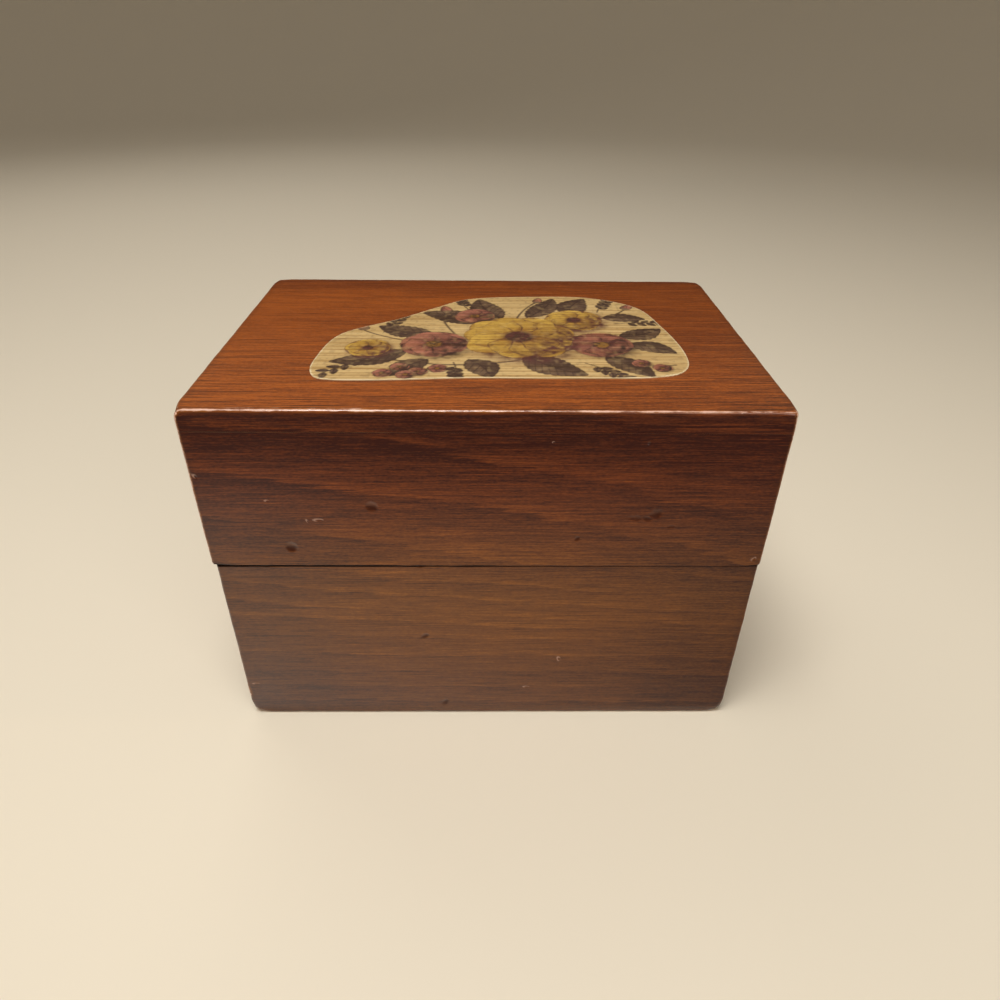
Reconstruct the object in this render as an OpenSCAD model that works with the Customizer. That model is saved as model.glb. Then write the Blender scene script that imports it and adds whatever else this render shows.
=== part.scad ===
// Recipe card box: one rebated wooden carcass, sawn into a base and a lid, on two small brass hinges.
// Millimetres, +Z up, +X to the right, and the front faces -Y.
// The origin lies on the underside, below the middle of the lid.

/* [Lid] */
// Width of the lid, left to right
lid_w = 147; // [130:0.5:200]
// Depth of the lid, front to back
lid_d = 101.6; // [85:0.1:160]
// Height of the lid, from its rim to its top
lid_h = 46.1; // [30:0.1:80]
// Thickness of the board that lies over the lid's walls
top_t = 5.8; // [4:0.1:10]
// Round along the lid's top edges
top_r = 1; // [0.4:0.1:2]

/* [Base] */
// Height of the base, from the table to its rim
base_h = 58.2; // [40:0.1:100]
// How far the lid stands past the base on the left
overhang_left = 0.9; // [0:0.1:2]
// How far the lid stands past the base on the right
overhang_right = 0.3; // [0:0.1:2]
// How far the lid stands past the base at the front
overhang_front = 0.4; // [0:0.1:2]
// Thickness of the bottom panel
bottom_t = 4; // [3:0.1:8]
// Round along the base's bottom edges
foot_r = 1.8; // [0.4:0.1:2.5]

/* [Joinery] */
// Thickness of the front, back and side boards
wall_t = 6.5; // [5.5:0.1:10]
// Thickness of the lip that covers a side board's end
lip_t = 3; // [2:0.1:4]
// How far the bottom panel is let into the walls
panel_in = 3; // [1.5:0.1:3.5]
// Thickness of a glue line between two boards
glue_line = 0.05; // [0.01:0.01:0.2]
// Height of the saw cut between the base and the lid
seam_gap = 0.3; // [0.2:0.05:1]
// Round along the upright corners
corner_r = 1.5; // [0.5:0.1:2.5]
// Bevel along both rims, at the front and sides
rim_bevel = 0.2; // [0.1:0.05:0.5]
// Bevel along both rims at the back, which clears the hinge barrels
barrel_bevel = 0.6; // [0.5:0.05:1.2]

/* [Hinges] */
// Width of a hinge along the seam
hinge_w = 19; // [15:0.5:30]
// Distance from the side of the lid to the middle of a hinge
hinge_inset = 30; // [18:0.5:45]
// Reach of a leaf from the middle of the barrel
leaf_reach = 9.5; // [8:0.1:16]
// Thickness of the hinge brass
leaf_t = 0.75; // [0.5:0.05:1]
// Round at the free corners of a leaf
leaf_r = 1.6; // [0.5:0.1:2.5]
// Number of knuckles in a barrel, an odd number
knuckles = 5; // [3:2:7]
// Gap between two knuckles along the barrel
knuckle_gap = 0.2; // [0.1:0.05:0.5]
// Gap where a rolled knuckle meets its own leaf
roll_gap = 0.2; // [0.1:0.05:0.4]
// Diameter of the hinge pin
pin_d = 1.6; // [1.2:0.1:2.4]
// Clearance round the pin in the lid's knuckles, which turn on it
turning_clearance = 0.05; // [0.02:0.01:0.1]
// Clearance round the pin in the base's knuckles, which grip it
grip_clearance = 0.02; // [0.01:0.01:0.05]

/* [Nails] */
// Diameter of a nail's shank
nail_d = 1.2; // [0.8:0.1:1.6]
// Length of a nail under its head
nail_l = 5.5; // [4:0.1:5.6]
// Length of a nail's point
nail_point = 1.4; // [0.8:0.1:2]
// Diameter of a nail's head
nail_head_d = 2.8; // [2:0.1:3.6]
// Height of a nail's domed head
nail_head_h = 0.5; // [0.3:0.05:0.7]
// Distance from the side of a leaf to a nail
nail_margin = 4; // [3:0.1:6]
// Clearance round a nail in its leaf and its pilot hole
nail_clearance = 0.05; // [0.02:0.01:0.15]

/* [Print] */
// Width of the glued print
print_w = 100.3; // [60:0.1:120]
// Depth of the glued print, front to back
print_d = 66; // [40:0.1:80]
// Distance from the front of the lid to the print
print_front = 17; // [10:0.1:30]
// How far the print's middle lies to the right of the lid's middle
print_shift = 3.9; // [-8:0.1:8]
// Thickness of the print
print_t = 0.25; // [0.1:0.05:0.6]

/* [Hidden] */
$fn = 64;

STAIN = [0.42, 0.21, 0.11];
TOP_STAIN = [0.55, 0.27, 0.13];
PANEL = [0.62, 0.47, 0.31];
CREAM = [0.84, 0.74, 0.51];
BRASS = [0.76, 0.61, 0.33];

// How far a cut runs past the face that it opens
past = 1;

base_w = lid_w - overhang_left - overhang_right;
base_d = lid_d - overhang_front;
base_x = (overhang_left - overhang_right) / 2;
base_y = overhang_front / 2;
lid_z = base_h + seam_gap;
lid_wall_h = lid_h - top_t - glue_line;

pin_r = pin_d / 2;
knuckle_r = pin_r + turning_clearance + leaf_t;
knuckle_l = (hinge_w - (knuckles - 1) * knuckle_gap) / knuckles;
knuckle_pitch = knuckle_l + knuckle_gap;
hinge_x = lid_w / 2 - hinge_inset;
hinge_y = lid_d / 2 + knuckle_r;
hinge_z = base_h + seam_gap / 2;
leaf_face = leaf_t - knuckle_r;
nail_r = nail_d / 2;
nail_x = hinge_w / 2 - nail_margin;
nail_z = (leaf_reach + knuckle_r) / 2;

// The print's cut edge, counter-clockwise, in shares of its width and depth
PRINT_EDGE = [
    [0.01, 0.05], [0.06, 0.00], [0.21, 0.00], [0.41, 0.02], [0.66, 0.02], [0.89, 0.035],
    [0.98, 0.11], [1.00, 0.30], [0.975, 0.59], [0.925, 0.85], [0.78, 0.99], [0.58, 1.00],
    [0.40, 0.96], [0.29, 0.82], [0.19, 0.67], [0.04, 0.48], [0.00, 0.20],
];
// Straight steps between two points of that edge
EDGE_STEPS = 8;

// A point of the smooth curve from b to c, at the share t, with a and d as their neighbours
function curve_point(a, b, c, d, t) =
    b + 0.5 * t * (c - a + t * (2 * a - 5 * b + 4 * c - d + t * (3 * (b - c) + d - a)));

// A closed smooth curve through the points p
function smooth_loop(p, steps) = let (n = len(p)) [
    for (i = [0 : n - 1])
        for (s = [0 : steps - 1])
            curve_point(p[(i + n - 1) % n], p[i], p[(i + 1) % n], p[(i + 2) % n], s / steps)
];

// A rectangle on the x axis with round upper corners, and a bevel at each lower one
module sanded_view(w, h, r, left_bevel, right_bevel) {
    difference() {
        union() {
            square([w, h - r]);
            translate([r, 0])
                square([w - 2 * r, h]);
            for (x = [r, w - r])
                translate([x, h - r])
                    circle(r);
        }
        rotate(45)
            square(sqrt(2) * left_bevel, center = true);
        translate([w, 0])
            rotate(45)
                square(sqrt(2) * right_bevel, center = true);
    }
}

// The plan of a box, with its upright corners rounded
module sanded_plan(w, d, r) {
    square([w - 2 * r, d], center = true);
    square([w, d - 2 * r], center = true);
    for (x = [r - w / 2, w / 2 - r])
        for (y = [r - d / 2, d / 2 - r])
            translate([x, y])
                circle(r);
}

// A whole block as it is sanded: its rim at z = 0, its closed end above, its back towards +Y
module sanded_block(w, d, h, r) {
    intersection() {
        linear_extrude(h)
            sanded_plan(w, d, corner_r);
        translate([-w / 2, d / 2, 0])
            rotate([90, 0, 0])
                linear_extrude(d)
                    sanded_view(w, h, r, rim_bevel, rim_bevel);
        translate([-w / 2, -d / 2, 0])
            rotate([90, 0, 90])
                linear_extrude(w)
                    sanded_view(d, h, r, rim_bevel, barrel_bevel);
    }
}

// What is left of the children inside the lid's sanded outside
module sanded_to_lid() {
    translate([0, 0, lid_z])
        intersection() {
            sanded_block(lid_w, lid_d, lid_h, top_r);
            children();
        }
}

// The same for the base, whose closed end is below
module sanded_to_base() {
    translate([base_x, base_y, 0])
        intersection() {
            translate([0, 0, base_h])
                mirror([0, 0, 1])
                    sanded_block(base_w, base_d, base_h, foot_r);
            children();
        }
}

// A front board: its outer face on y = -d / 2, and a rebate at each end for a side board
module rebated_board(w, d, h) {
    shoulder = wall_t + glue_line;
    translate([-w / 2, -d / 2, 0])
        linear_extrude(h)
            polygon([
                [0, 0],
                [w, 0],
                [w, lip_t],
                [w - shoulder, lip_t],
                [w - shoulder, wall_t],
                [shoulder, wall_t],
                [shoulder, lip_t],
                [0, lip_t],
            ]);
}

// A left side board, its ends against the lips of the front and back boards
module side_board(w, d, h) {
    length = d - 2 * (lip_t + glue_line);
    translate([-w / 2, -length / 2, 0])
        cube([wall_t, length, h]);
}

// The rebate round the foot of the walls, which takes the bottom panel
module panel_rebate() {
    seat = wall_t - panel_in;
    translate([seat - base_w / 2, seat - base_d / 2, -past])
        cube([base_w - 2 * seat, base_d - 2 * seat, bottom_t + glue_line + past]);
}

// Pilot holes for the nails of both hinges, on the side of the seam that up says, 1 or -1
module pilot_holes(up) {
    for_each_nail(up)
        translate([0, 0, -nail_l - nail_clearance])
            cylinder(r = nail_r + nail_clearance, h = nail_l + past);
}

// Places its children at the nails of both hinges, with z along the nail and 0 under its head
module for_each_nail(up) {
    for (side = [-1, 1])
        for (end = [-1, 1])
            translate([side * hinge_x + end * nail_x, hinge_y + leaf_face, hinge_z + up * nail_z])
                rotate([-90, 0, 0])
                    children();
}

module base_front_board() {
    color(STAIN)
        sanded_to_base()
            difference() {
                rebated_board(base_w, base_d, base_h);
                panel_rebate();
            }
}

module base_back_board() {
    color(STAIN)
        difference() {
            sanded_to_base()
                difference() {
                    mirror([0, 1, 0])
                        rebated_board(base_w, base_d, base_h);
                    panel_rebate();
                }
            pilot_holes(-1);
        }
}

module base_side_board(side) {
    color(STAIN)
        sanded_to_base()
            difference() {
                mirror([side == 1 ? 1 : 0, 0, 0])
                    side_board(base_w, base_d, base_h);
                panel_rebate();
            }
}

module base_bottom_panel() {
    edge = wall_t - panel_in + glue_line;
    color(PANEL)
        translate([base_x + edge - base_w / 2, base_y + edge - base_d / 2, 0])
            cube([base_w - 2 * edge, base_d - 2 * edge, bottom_t]);
}

module lid_front_board() {
    color(STAIN)
        sanded_to_lid()
            rebated_board(lid_w, lid_d, lid_wall_h);
}

module lid_back_board() {
    color(STAIN)
        difference() {
            sanded_to_lid()
                mirror([0, 1, 0])
                    rebated_board(lid_w, lid_d, lid_wall_h);
            pilot_holes(1);
        }
}

module lid_side_board(side) {
    color(STAIN)
        sanded_to_lid()
            mirror([side == 1 ? 1 : 0, 0, 0])
                side_board(lid_w, lid_d, lid_wall_h);
}

module lid_top_board() {
    color(TOP_STAIN)
        sanded_to_lid()
            translate([-lid_w / 2, -lid_d / 2, lid_h - top_t])
                cube([lid_w, lid_d, top_t]);
}

module lid_print() {
    edge = [for (p = smooth_loop(PRINT_EDGE, EDGE_STEPS)) [p[0] * print_w, p[1] * print_d]];
    color(CREAM)
        translate([print_shift - print_w / 2, print_front - lid_d / 2, lid_z + lid_h])
            linear_extrude(print_t)
                polygon(edge);
}

// Where a knuckle starts along its barrel, counted from 0 at the left
function knuckle_start(i) = i * knuckle_pitch - hinge_w / 2;

// A plate with its two lower corners rounded, hanging from z = 0 against the wood
module leaf_plate() {
    translate([-hinge_w / 2, leaf_face, 0])
        rotate([90, 0, 0])
            linear_extrude(leaf_t)
                translate([0, -leaf_reach]) {
                    translate([0, leaf_r])
                        square([hinge_w, leaf_reach - leaf_r]);
                    translate([leaf_r, 0])
                        square([hinge_w - 2 * leaf_r, leaf_reach]);
                    for (x = [leaf_r, hinge_w - leaf_r])
                        translate([x, leaf_r])
                            circle(leaf_r);
                }
}

// A rolled knuckle on the pin's line, open by the roll gap beside the leaf that it is rolled from
module rolled_knuckle(bore_r) {
    rotate([90, 0, 90])
        linear_extrude(knuckle_l)
            difference() {
                circle(knuckle_r);
                circle(bore_r);
                translate([leaf_face, -knuckle_r - past])
                    square([roll_gap, knuckle_r + past]);
            }
}

// A leaf below the pin's line. It carries every second knuckle from the one numbered first
module hinge_leaf(first, bore_r) {
    notch_h = knuckle_r + knuckle_gap;
    difference() {
        leaf_plate();
        for (i = [1 - first : 2 : knuckles - 1])
            translate([knuckle_start(i) - knuckle_gap, -knuckle_r - past, -notch_h])
                cube([knuckle_l + 2 * knuckle_gap, leaf_t + 2 * past, notch_h + past]);
        for (end = [-1, 1])
            translate([end * nail_x, leaf_face + past, -nail_z])
                rotate([90, 0, 0])
                    cylinder(r = nail_r + nail_clearance, h = leaf_t + 2 * past);
    }
    for (i = [first : 2 : knuckles - 1])
        translate([knuckle_start(i), 0, 0])
            rolled_knuckle(bore_r);
}

module base_leaf(side) {
    color(BRASS)
        translate([side * hinge_x, hinge_y, hinge_z])
            hinge_leaf(0, pin_r + grip_clearance);
}

module lid_leaf(side) {
    color(BRASS)
        translate([side * hinge_x, hinge_y, hinge_z])
            mirror([0, 0, 1])
                hinge_leaf(1, pin_r + turning_clearance);
}

module hinge_pin(side) {
    chamfer = pin_r / 4;
    color(BRASS)
        translate([side * hinge_x - hinge_w / 2, hinge_y, hinge_z])
            rotate([0, 90, 0])
                rotate_extrude()
                    polygon([
                        [0, 0],
                        [pin_r - chamfer, 0],
                        [pin_r, chamfer],
                        [pin_r, hinge_w - chamfer],
                        [pin_r - chamfer, hinge_w],
                        [0, hinge_w],
                    ]);
}

// A round-head nail along z, its head resting on z = 0
module nail() {
    dome_r = (nail_head_h * nail_head_h + nail_head_d * nail_head_d / 4) / (2 * nail_head_h);
    rotate_extrude()
        intersection() {
            translate([0, nail_head_h - dome_r])
                circle(dome_r);
            square([nail_head_d / 2, nail_head_h]);
        }
    translate([0, 0, nail_point - nail_l])
        cylinder(r = nail_r, h = nail_l - nail_point);
    translate([0, 0, -nail_l])
        cylinder(r1 = 0, r2 = nail_r, h = nail_point);
}

module base_hinge_nails() {
    color(BRASS)
        for_each_nail(-1)
            nail();
}

module lid_hinge_nails() {
    color(BRASS)
        for_each_nail(1)
            nail();
}

base_front_board();
base_back_board();
base_side_board(-1);  // base_left_board
base_side_board(1);  // base_right_board
base_bottom_panel();
base_leaf(-1);  // left_hinge_base_leaf
base_leaf(1);  // right_hinge_base_leaf
hinge_pin(-1);  // left_hinge_pin
hinge_pin(1);  // right_hinge_pin
base_hinge_nails();
lid_front_board();
lid_back_board();
lid_side_board(-1);  // lid_left_board
lid_side_board(1);  // lid_right_board
lid_top_board();
lid_print();
lid_leaf(-1);  // left_hinge_lid_leaf
lid_leaf(1);  // right_hinge_lid_leaf
lid_hinge_nails();
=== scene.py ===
"""Dresses the recipe card box: stained and lacquered boards, a cut-out print on the lid, and brass hinges."""

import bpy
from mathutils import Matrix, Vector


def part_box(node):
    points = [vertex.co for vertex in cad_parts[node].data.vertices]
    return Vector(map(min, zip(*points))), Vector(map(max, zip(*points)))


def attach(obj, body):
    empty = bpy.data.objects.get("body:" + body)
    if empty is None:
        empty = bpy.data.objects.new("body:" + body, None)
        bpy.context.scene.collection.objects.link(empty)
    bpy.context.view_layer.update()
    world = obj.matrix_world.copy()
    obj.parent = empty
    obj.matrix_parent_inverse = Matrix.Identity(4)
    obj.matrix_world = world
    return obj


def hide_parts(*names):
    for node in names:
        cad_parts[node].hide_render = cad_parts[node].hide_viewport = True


bl_info = {
    "name": "Recipe Card Box",
    "version": (1, 0, 0),
    "blender": (4, 5, 0),
    "location": "3D View > Sidebar > Card Box",
    "description": "Stained boards, a glued print, brass hinges and a plain studio for a recipe card box",
    "category": "Add Mesh",
}

import math
from itertools import product

import bpy
import numpy as np
from bpy.props import FloatProperty, FloatVectorProperty, PointerProperty
from mathutils import Vector

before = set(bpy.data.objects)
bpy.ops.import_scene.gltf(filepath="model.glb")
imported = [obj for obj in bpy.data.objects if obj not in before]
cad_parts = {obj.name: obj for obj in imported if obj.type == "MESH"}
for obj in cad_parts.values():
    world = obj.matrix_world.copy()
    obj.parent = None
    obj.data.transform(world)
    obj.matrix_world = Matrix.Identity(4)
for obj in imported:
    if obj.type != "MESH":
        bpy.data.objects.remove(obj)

MM = 0.001
TINY = 1e-9


def box_of(*nodes):
    """Lowest and highest corner of CAD nodes taken together"""
    boxes = [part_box(node) for node in nodes]
    return np.min([b[0] for b in boxes], axis=0), np.max([b[1] for b in boxes], axis=0)


LID = box_of("lid_front_board", "lid_back_board", "lid_left_board", "lid_right_board", "lid_top_board")
BASE = box_of("base_front_board", "base_back_board", "base_left_board", "base_right_board")
LID_WIDTH = LID[1][0] - LID[0][0]


def colour_setting(name, description, default):
    return FloatVectorProperty(
        name=name, description=description, default=default, subtype="COLOR", size=3, min=0.0, max=1.0
    )


def length_setting(name, description, default):
    return FloatProperty(name=name, description=description, default=default, unit="LENGTH", min=0.0)


def share_setting(name, description, default):
    return FloatProperty(
        name=name, description=description, default=default, subtype="FACTOR", min=0.0, max=1.0
    )


class CardBoxWood(bpy.types.PropertyGroup):
    """Shape, stain and lacquer of the boards"""

    top_round: length_setting("Top edge round", "Round along the lid's top edges", 0.65 * MM)
    foot_round: length_setting("Foot round", "Round along the base's bottom edges", 0.7 * MM)
    corner_round: length_setting("Corner round", "Round along the upright corners", 0.8 * MM)
    rim_round: length_setting("Rim round", "Round along the sawn rims", 0.2 * MM)
    back_rim_round: length_setting("Back rim round", "Round along the rims beside the hinges", 0.6 * MM)
    unevenness: share_setting("Unevenness", "How much the hand-sanded rounds vary along an edge", 0.22)
    dark_stain: colour_setting("Dark stain", "Stain where it has soaked in most", (0.045, 0.009, 0.0025))
    stain: colour_setting("Stain", "Stain on most of the wood", (0.19, 0.058, 0.0070))
    light_stain: colour_setting("Light stain", "Stain on the lightest bands", (0.40, 0.138, 0.013))
    # Also the colour of the painted highlights along the lid's front edges and of the painted reflection in
    # the dents
    worn_wood_and_highlight: colour_setting("Worn stain", "Wood where an edge has been rubbed through", (0.74, 0.45, 0.33))
    bare_wood: colour_setting("Bare wood", "Unstained wood inside the box", (0.50, 0.31, 0.16))
    bare_dark: colour_setting("Bare grain", "Grain lines in the unstained wood", (0.27, 0.14, 0.062))
    lacquer: share_setting("Lacquer", "Weight of the lacquer coat", 0.9)
    lacquer_roughness: share_setting("Lacquer roughness", "Roughness of the lacquer coat", 0.17)


class CardBoxPrint(bpy.types.PropertyGroup):
    """Paper and inks of the print on the lid"""

    mesh_step: length_setting("Grid step", "Size of a cell in the printed sheet", 0.26 * MM)
    cut_border: length_setting("Cut border", "Width of the pale line along the cut edge", 0.36 * MM)
    paper: colour_setting("Paper", "Varnished cream paper", (0.72, 0.50, 0.22))
    cut_paper: colour_setting("Cut paper", "Paper along the cut edge", (0.84, 0.68, 0.42))
    ochre: colour_setting("Ochre", "Shaded parts of the yellow petals", (0.34, 0.16, 0.03))
    lemon: colour_setting("Lemon", "Lit parts of the yellow petals", (0.68, 0.42, 0.08))
    rose: colour_setting("Rose", "Lit parts of the rose petals", (0.48, 0.18, 0.11))
    maroon: colour_setting("Maroon", "Shaded parts of the petals", (0.12, 0.034, 0.030))
    leaf: colour_setting("Leaf", "Brown leaves", (0.24, 0.145, 0.08))
    umber: colour_setting("Umber", "Outlines, veins and stems", (0.050, 0.023, 0.019))


class CardBoxBrass(bpy.types.PropertyGroup):
    """Brass of the hinges and nails"""

    brass: colour_setting("Brass", "Clean brass", (0.72, 0.50, 0.20))
    tarnish: colour_setting("Tarnish", "Brown tarnish", (0.24, 0.14, 0.055))
    edge_break: length_setting("Edge break", "Broken edge on the stamped leaves", 0.08 * MM)


class CardBoxStage(bpy.types.PropertyGroup):
    """Floor, lamps and camera"""

    floor_colour: colour_setting("Floor", "Plain pale floor", (0.82, 0.72, 0.56))
    room_colour: colour_setting("Room", "Dim grey room", (0.20, 0.20, 0.20))
    key_power: FloatProperty(
        name="Key power", description="Power of the lamp overhead", default=4.6, unit="POWER"
    )
    fill_power: FloatProperty(
        name="Fill power", description="Power of the lamp in front", default=1.9, unit="POWER"
    )
    back_power: FloatProperty(
        name="Back power", description="Power of the lamp high up behind", default=2.0, unit="POWER"
    )
    camera_place: FloatVectorProperty(
        name="Camera place", description="Where the camera stands", default=(0.0005, -0.2036, 0.1809),
        subtype="TRANSLATION", unit="LENGTH",
    )
    camera_turn: FloatVectorProperty(
        name="Camera turn", description="How the camera is turned",
        default=(math.radians(56.498), math.radians(-0.574), math.radians(-0.605)), subtype="EULER",
    )
    lens: FloatProperty(
        name="Lens", description="Focal length of the camera, in millimetres", default=26.19, unit="CAMERA"
    )


def cloud(places, size, seed):
    """Smooth random values from 0 to 1, with blobs of the given size along each axis"""
    steps = places / np.asarray(size, float)
    cells = np.floor(steps).astype(np.int64)
    part = steps - cells
    part = part * part * (3 - 2 * part)
    total = np.zeros(len(places))
    for corner in product((0, 1), repeat=3):
        key = ((cells + corner) * (73856093, 19349663, 83492791)).sum(axis=1) + seed * 2654435761
        key = (key ^ (key >> 13)) * 1274126177 & 0xFFFFFFFF
        key = (key ^ (key >> 16)) * 2246822519 & 0xFFFFFFFF
        weight = np.where(corner, part, 1 - part).prod(axis=1)
        total += weight * key / 0xFFFFFFFF
    return total


def wander(along, seed):
    """A wavy line from about -1 to 1, for edges that were sanded by hand"""
    rng = np.random.default_rng(seed)
    total = np.zeros(len(along))
    for length, height in ((31 * MM, 0.4), (13 * MM, 0.35), (6.5 * MM, 0.25)):
        total += height * np.sin(2 * math.pi * (along / length + rng.random()))
    return total


def smooth_step(value, low, high):
    """Rises softly from 0 at low to 1 at high, and falls where low is the greater"""
    share = np.clip((value - low) / (high - low), 0, 1)
    return share * share * (3 - 2 * share)


def graded_lines(stops, step, fine):
    """Grid lines through all the stops, a step apart, and closer near each fine (place, reach, spacing)"""
    growth = 0.4
    lines = []
    for start, end in zip(stops, stops[1:]):
        marks = [start]
        while marks[-1] < end:
            spacings = [step]
            for place, reach, spacing in fine:
                spacings.append(spacing + growth * max(abs(marks[-1] - place) - reach, 0))
            marks.append(marks[-1] + min(spacings))
        scale = (end - start) / (marks[-1] - start)
        lines += [start + (mark - start) * scale for mark in marks[:-1]]
    return np.array(lines + [stops[-1]])


def gridded_solid(blocks, cuts, steps, fine):
    """Corner places and four-sided faces round a solid made of upright blocks, less some cuts"""
    lowest = np.min([lo for lo, hi in blocks], axis=0)
    highest = np.max([hi for lo, hi in blocks], axis=0)
    lines = []
    for axis in range(3):
        ends = {float(corner[axis]) for block in blocks + cuts for corner in block}
        stops = sorted(e for e in ends if lowest[axis] - TINY <= e <= highest[axis] + TINY)
        lines.append(graded_lines(stops, steps[axis], fine[axis]))
    middles = np.meshgrid(*[(line[1:] + line[:-1]) / 2 for line in lines], indexing="ij")

    def within(lo, hi):
        return np.all([(m > a) & (m < b) for m, a, b in zip(middles, lo, hi)], axis=0)

    full = np.any([within(*block) for block in blocks], axis=0)
    for cut in cuts:
        full &= ~within(*cut)
    full = np.pad(full, 1)
    counts = [len(line) for line in lines]
    faces, facing = [], []
    for axis in range(3):
        order = [axis, (axis + 1) % 3, (axis + 2) % 3]
        turned = full.transpose(order)[:, 1:-1, 1:-1]
        for out in (1, -1):
            below, above = turned[:-1], turned[1:]
            here = below & ~above if out == 1 else above & ~below
            found = np.array(np.nonzero(here))
            ring = ((0, 0), (1, 0), (1, 1), (0, 1))[::out]
            quad = []
            for step_u, step_v in ring:
                index = np.empty_like(found)
                index[order[0]] = found[0]
                index[order[1]] = found[1] + step_u
                index[order[2]] = found[2] + step_v
                quad.append((index[0] * counts[1] + index[1]) * counts[2] + index[2])
            faces.append(np.array(quad).T)
            facing.append(np.tile(np.eye(3)[axis] * out, (found.shape[1], 1)))
    faces = np.concatenate(faces)
    used, faces = np.unique(faces, return_inverse=True)
    index = np.unravel_index(used, counts)
    places = np.stack([line[i] for line, i in zip(lines, index)], axis=1)
    return places, faces.reshape(-1, 4), np.concatenate(facing)


def mesh_piece(name, places, faces, sharp_angle=35):
    """A smooth-shaded object with sharp edges where the faces turn by more than an angle"""
    mesh = bpy.data.meshes.new(name)
    mesh.from_pydata(places.tolist(), [], [list(face) for face in faces])
    mesh.shade_smooth()
    mesh.set_sharp_from_angle(angle=math.radians(sharp_angle))
    piece = bpy.data.objects.new(name, mesh)
    bpy.context.scene.collection.objects.link(piece)
    return piece


KINDS = {"FLOAT": "value", "FLOAT_VECTOR": "vector", "FLOAT_COLOR": "color"}


def paint(piece, name, values, kind="FLOAT", domain="POINT"):
    """Writes one value for each corner or face of a piece, for its material to read"""
    layer = piece.data.attributes.new(name, kind, domain)
    layer.data.foreach_set(KINDS[kind], np.asarray(values, np.float32).ravel())


def faces_of(block, closed_up):
    """The six sides of a block, each as its axis, its place and its inward direction"""
    lo, hi = block
    bottom, top = (2, lo[2], 1), (2, hi[2], -1)
    return {
        "left": (0, lo[0], 1),
        "right": (0, hi[0], -1),
        "front": (1, lo[1], 1),
        "back": (1, hi[1], -1),
        "closed": top if closed_up else bottom,
        "rim": bottom if closed_up else top,
    }


def depth_from(places, side):
    """How far each place lies inside one side of a block"""
    axis, at, inward = side
    return (places[:, axis] - at) * inward


def round_edge(places, side_a, side_b, radius):
    """Rolls a square edge over to a round one, and returns how far round each place lies, 1 in the middle"""
    short_a = np.maximum(radius - depth_from(places, side_a), 0)
    short_b = np.maximum(radius - depth_from(places, side_b), 0)
    reach = np.maximum(np.hypot(short_a, short_b), TINY)
    give = 1 - np.maximum(short_a, short_b) / reach
    places[:, side_a[0]] += side_a[2] * short_a * give
    places[:, side_b[0]] += side_b[2] * short_b * give
    return 2 * short_a * short_b / reach**2


# Corners that are worn rounder than the edges that meet there, with the round on the lid and on the base
WORN_CORNERS = {
    ("closed", "front", "left"): (0.9 * MM, 2.3 * MM),
    ("closed", "front", "right"): (1.2 * MM, 2.3 * MM),
    ("closed", "back", "left"): (1.8 * MM, 2.6 * MM),
    ("closed", "back", "right"): (1.9 * MM, 2.4 * MM),
    ("rim", "front", "left"): (0.9 * MM, 0.2 * MM),
    ("rim", "front", "right"): (0.9 * MM, 0.2 * MM),
}
WORN_REACH = 6 * MM
# The lid's left top edge rolls over to a wide round where it meets the front
CORNER_ROLL = 2.7 * MM
# How much rounder than its plain round the front rim is at the left and at the right
RIM_LEFT, RIM_RIGHT = 2.0, 0.6
# How pale the edges are painted: on the lid's top front edge rubbed-off stain with a painted highlight, on
# its upright front edges a painted highlight, on its other edges and the base's edges rubbed-off stain; and
# how far from the middle of an edge's round that ends
WEAR_AND_HIGHLIGHT = {"top_front": 1.0, "upright_front": 1.04, "lid": 0.8, "base": 0.55}
WEAR_AND_HIGHLIGHT_REACH = 0.9 * MM
# The top front edge's rubbed stain and painted highlight are strongest a little above the middle of its
# round, with a chip near the right
TOP_FRONT_RISE, TOP_CHIP = 0.15 * MM, 132.7 * MM
# A second, fainter painted highlight runs above it at the left
SECOND_RISE, SECOND_HALF, SECOND_HIGHLIGHT = 0.95 * MM, 0.5 * MM, 0.95
# A knock low on the base's front left edge, with its height, half height and added wear
KNOCK_HEIGHT, KNOCK_HALF, KNOCK_WEAR = 8.5 * MM, 4.5 * MM, 0.4


def edges_of(body):
    """The edges of a body's outside, as pairs of its sides, each with its plain round"""
    wood = bpy.context.scene.card_box_wood
    closed_round = wood.top_round if body == "lid" else wood.foot_round
    edges = [(pair, wood.corner_round) for pair in product(("left", "right"), ("front", "back"))]
    edges += [(("closed", side), closed_round) for side in ("left", "right", "front", "back")]
    edges += [(("rim", side), wood.rim_round) for side in ("left", "right", "front")]
    return edges + [(("rim", "back"), wood.back_rim_round)]


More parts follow.
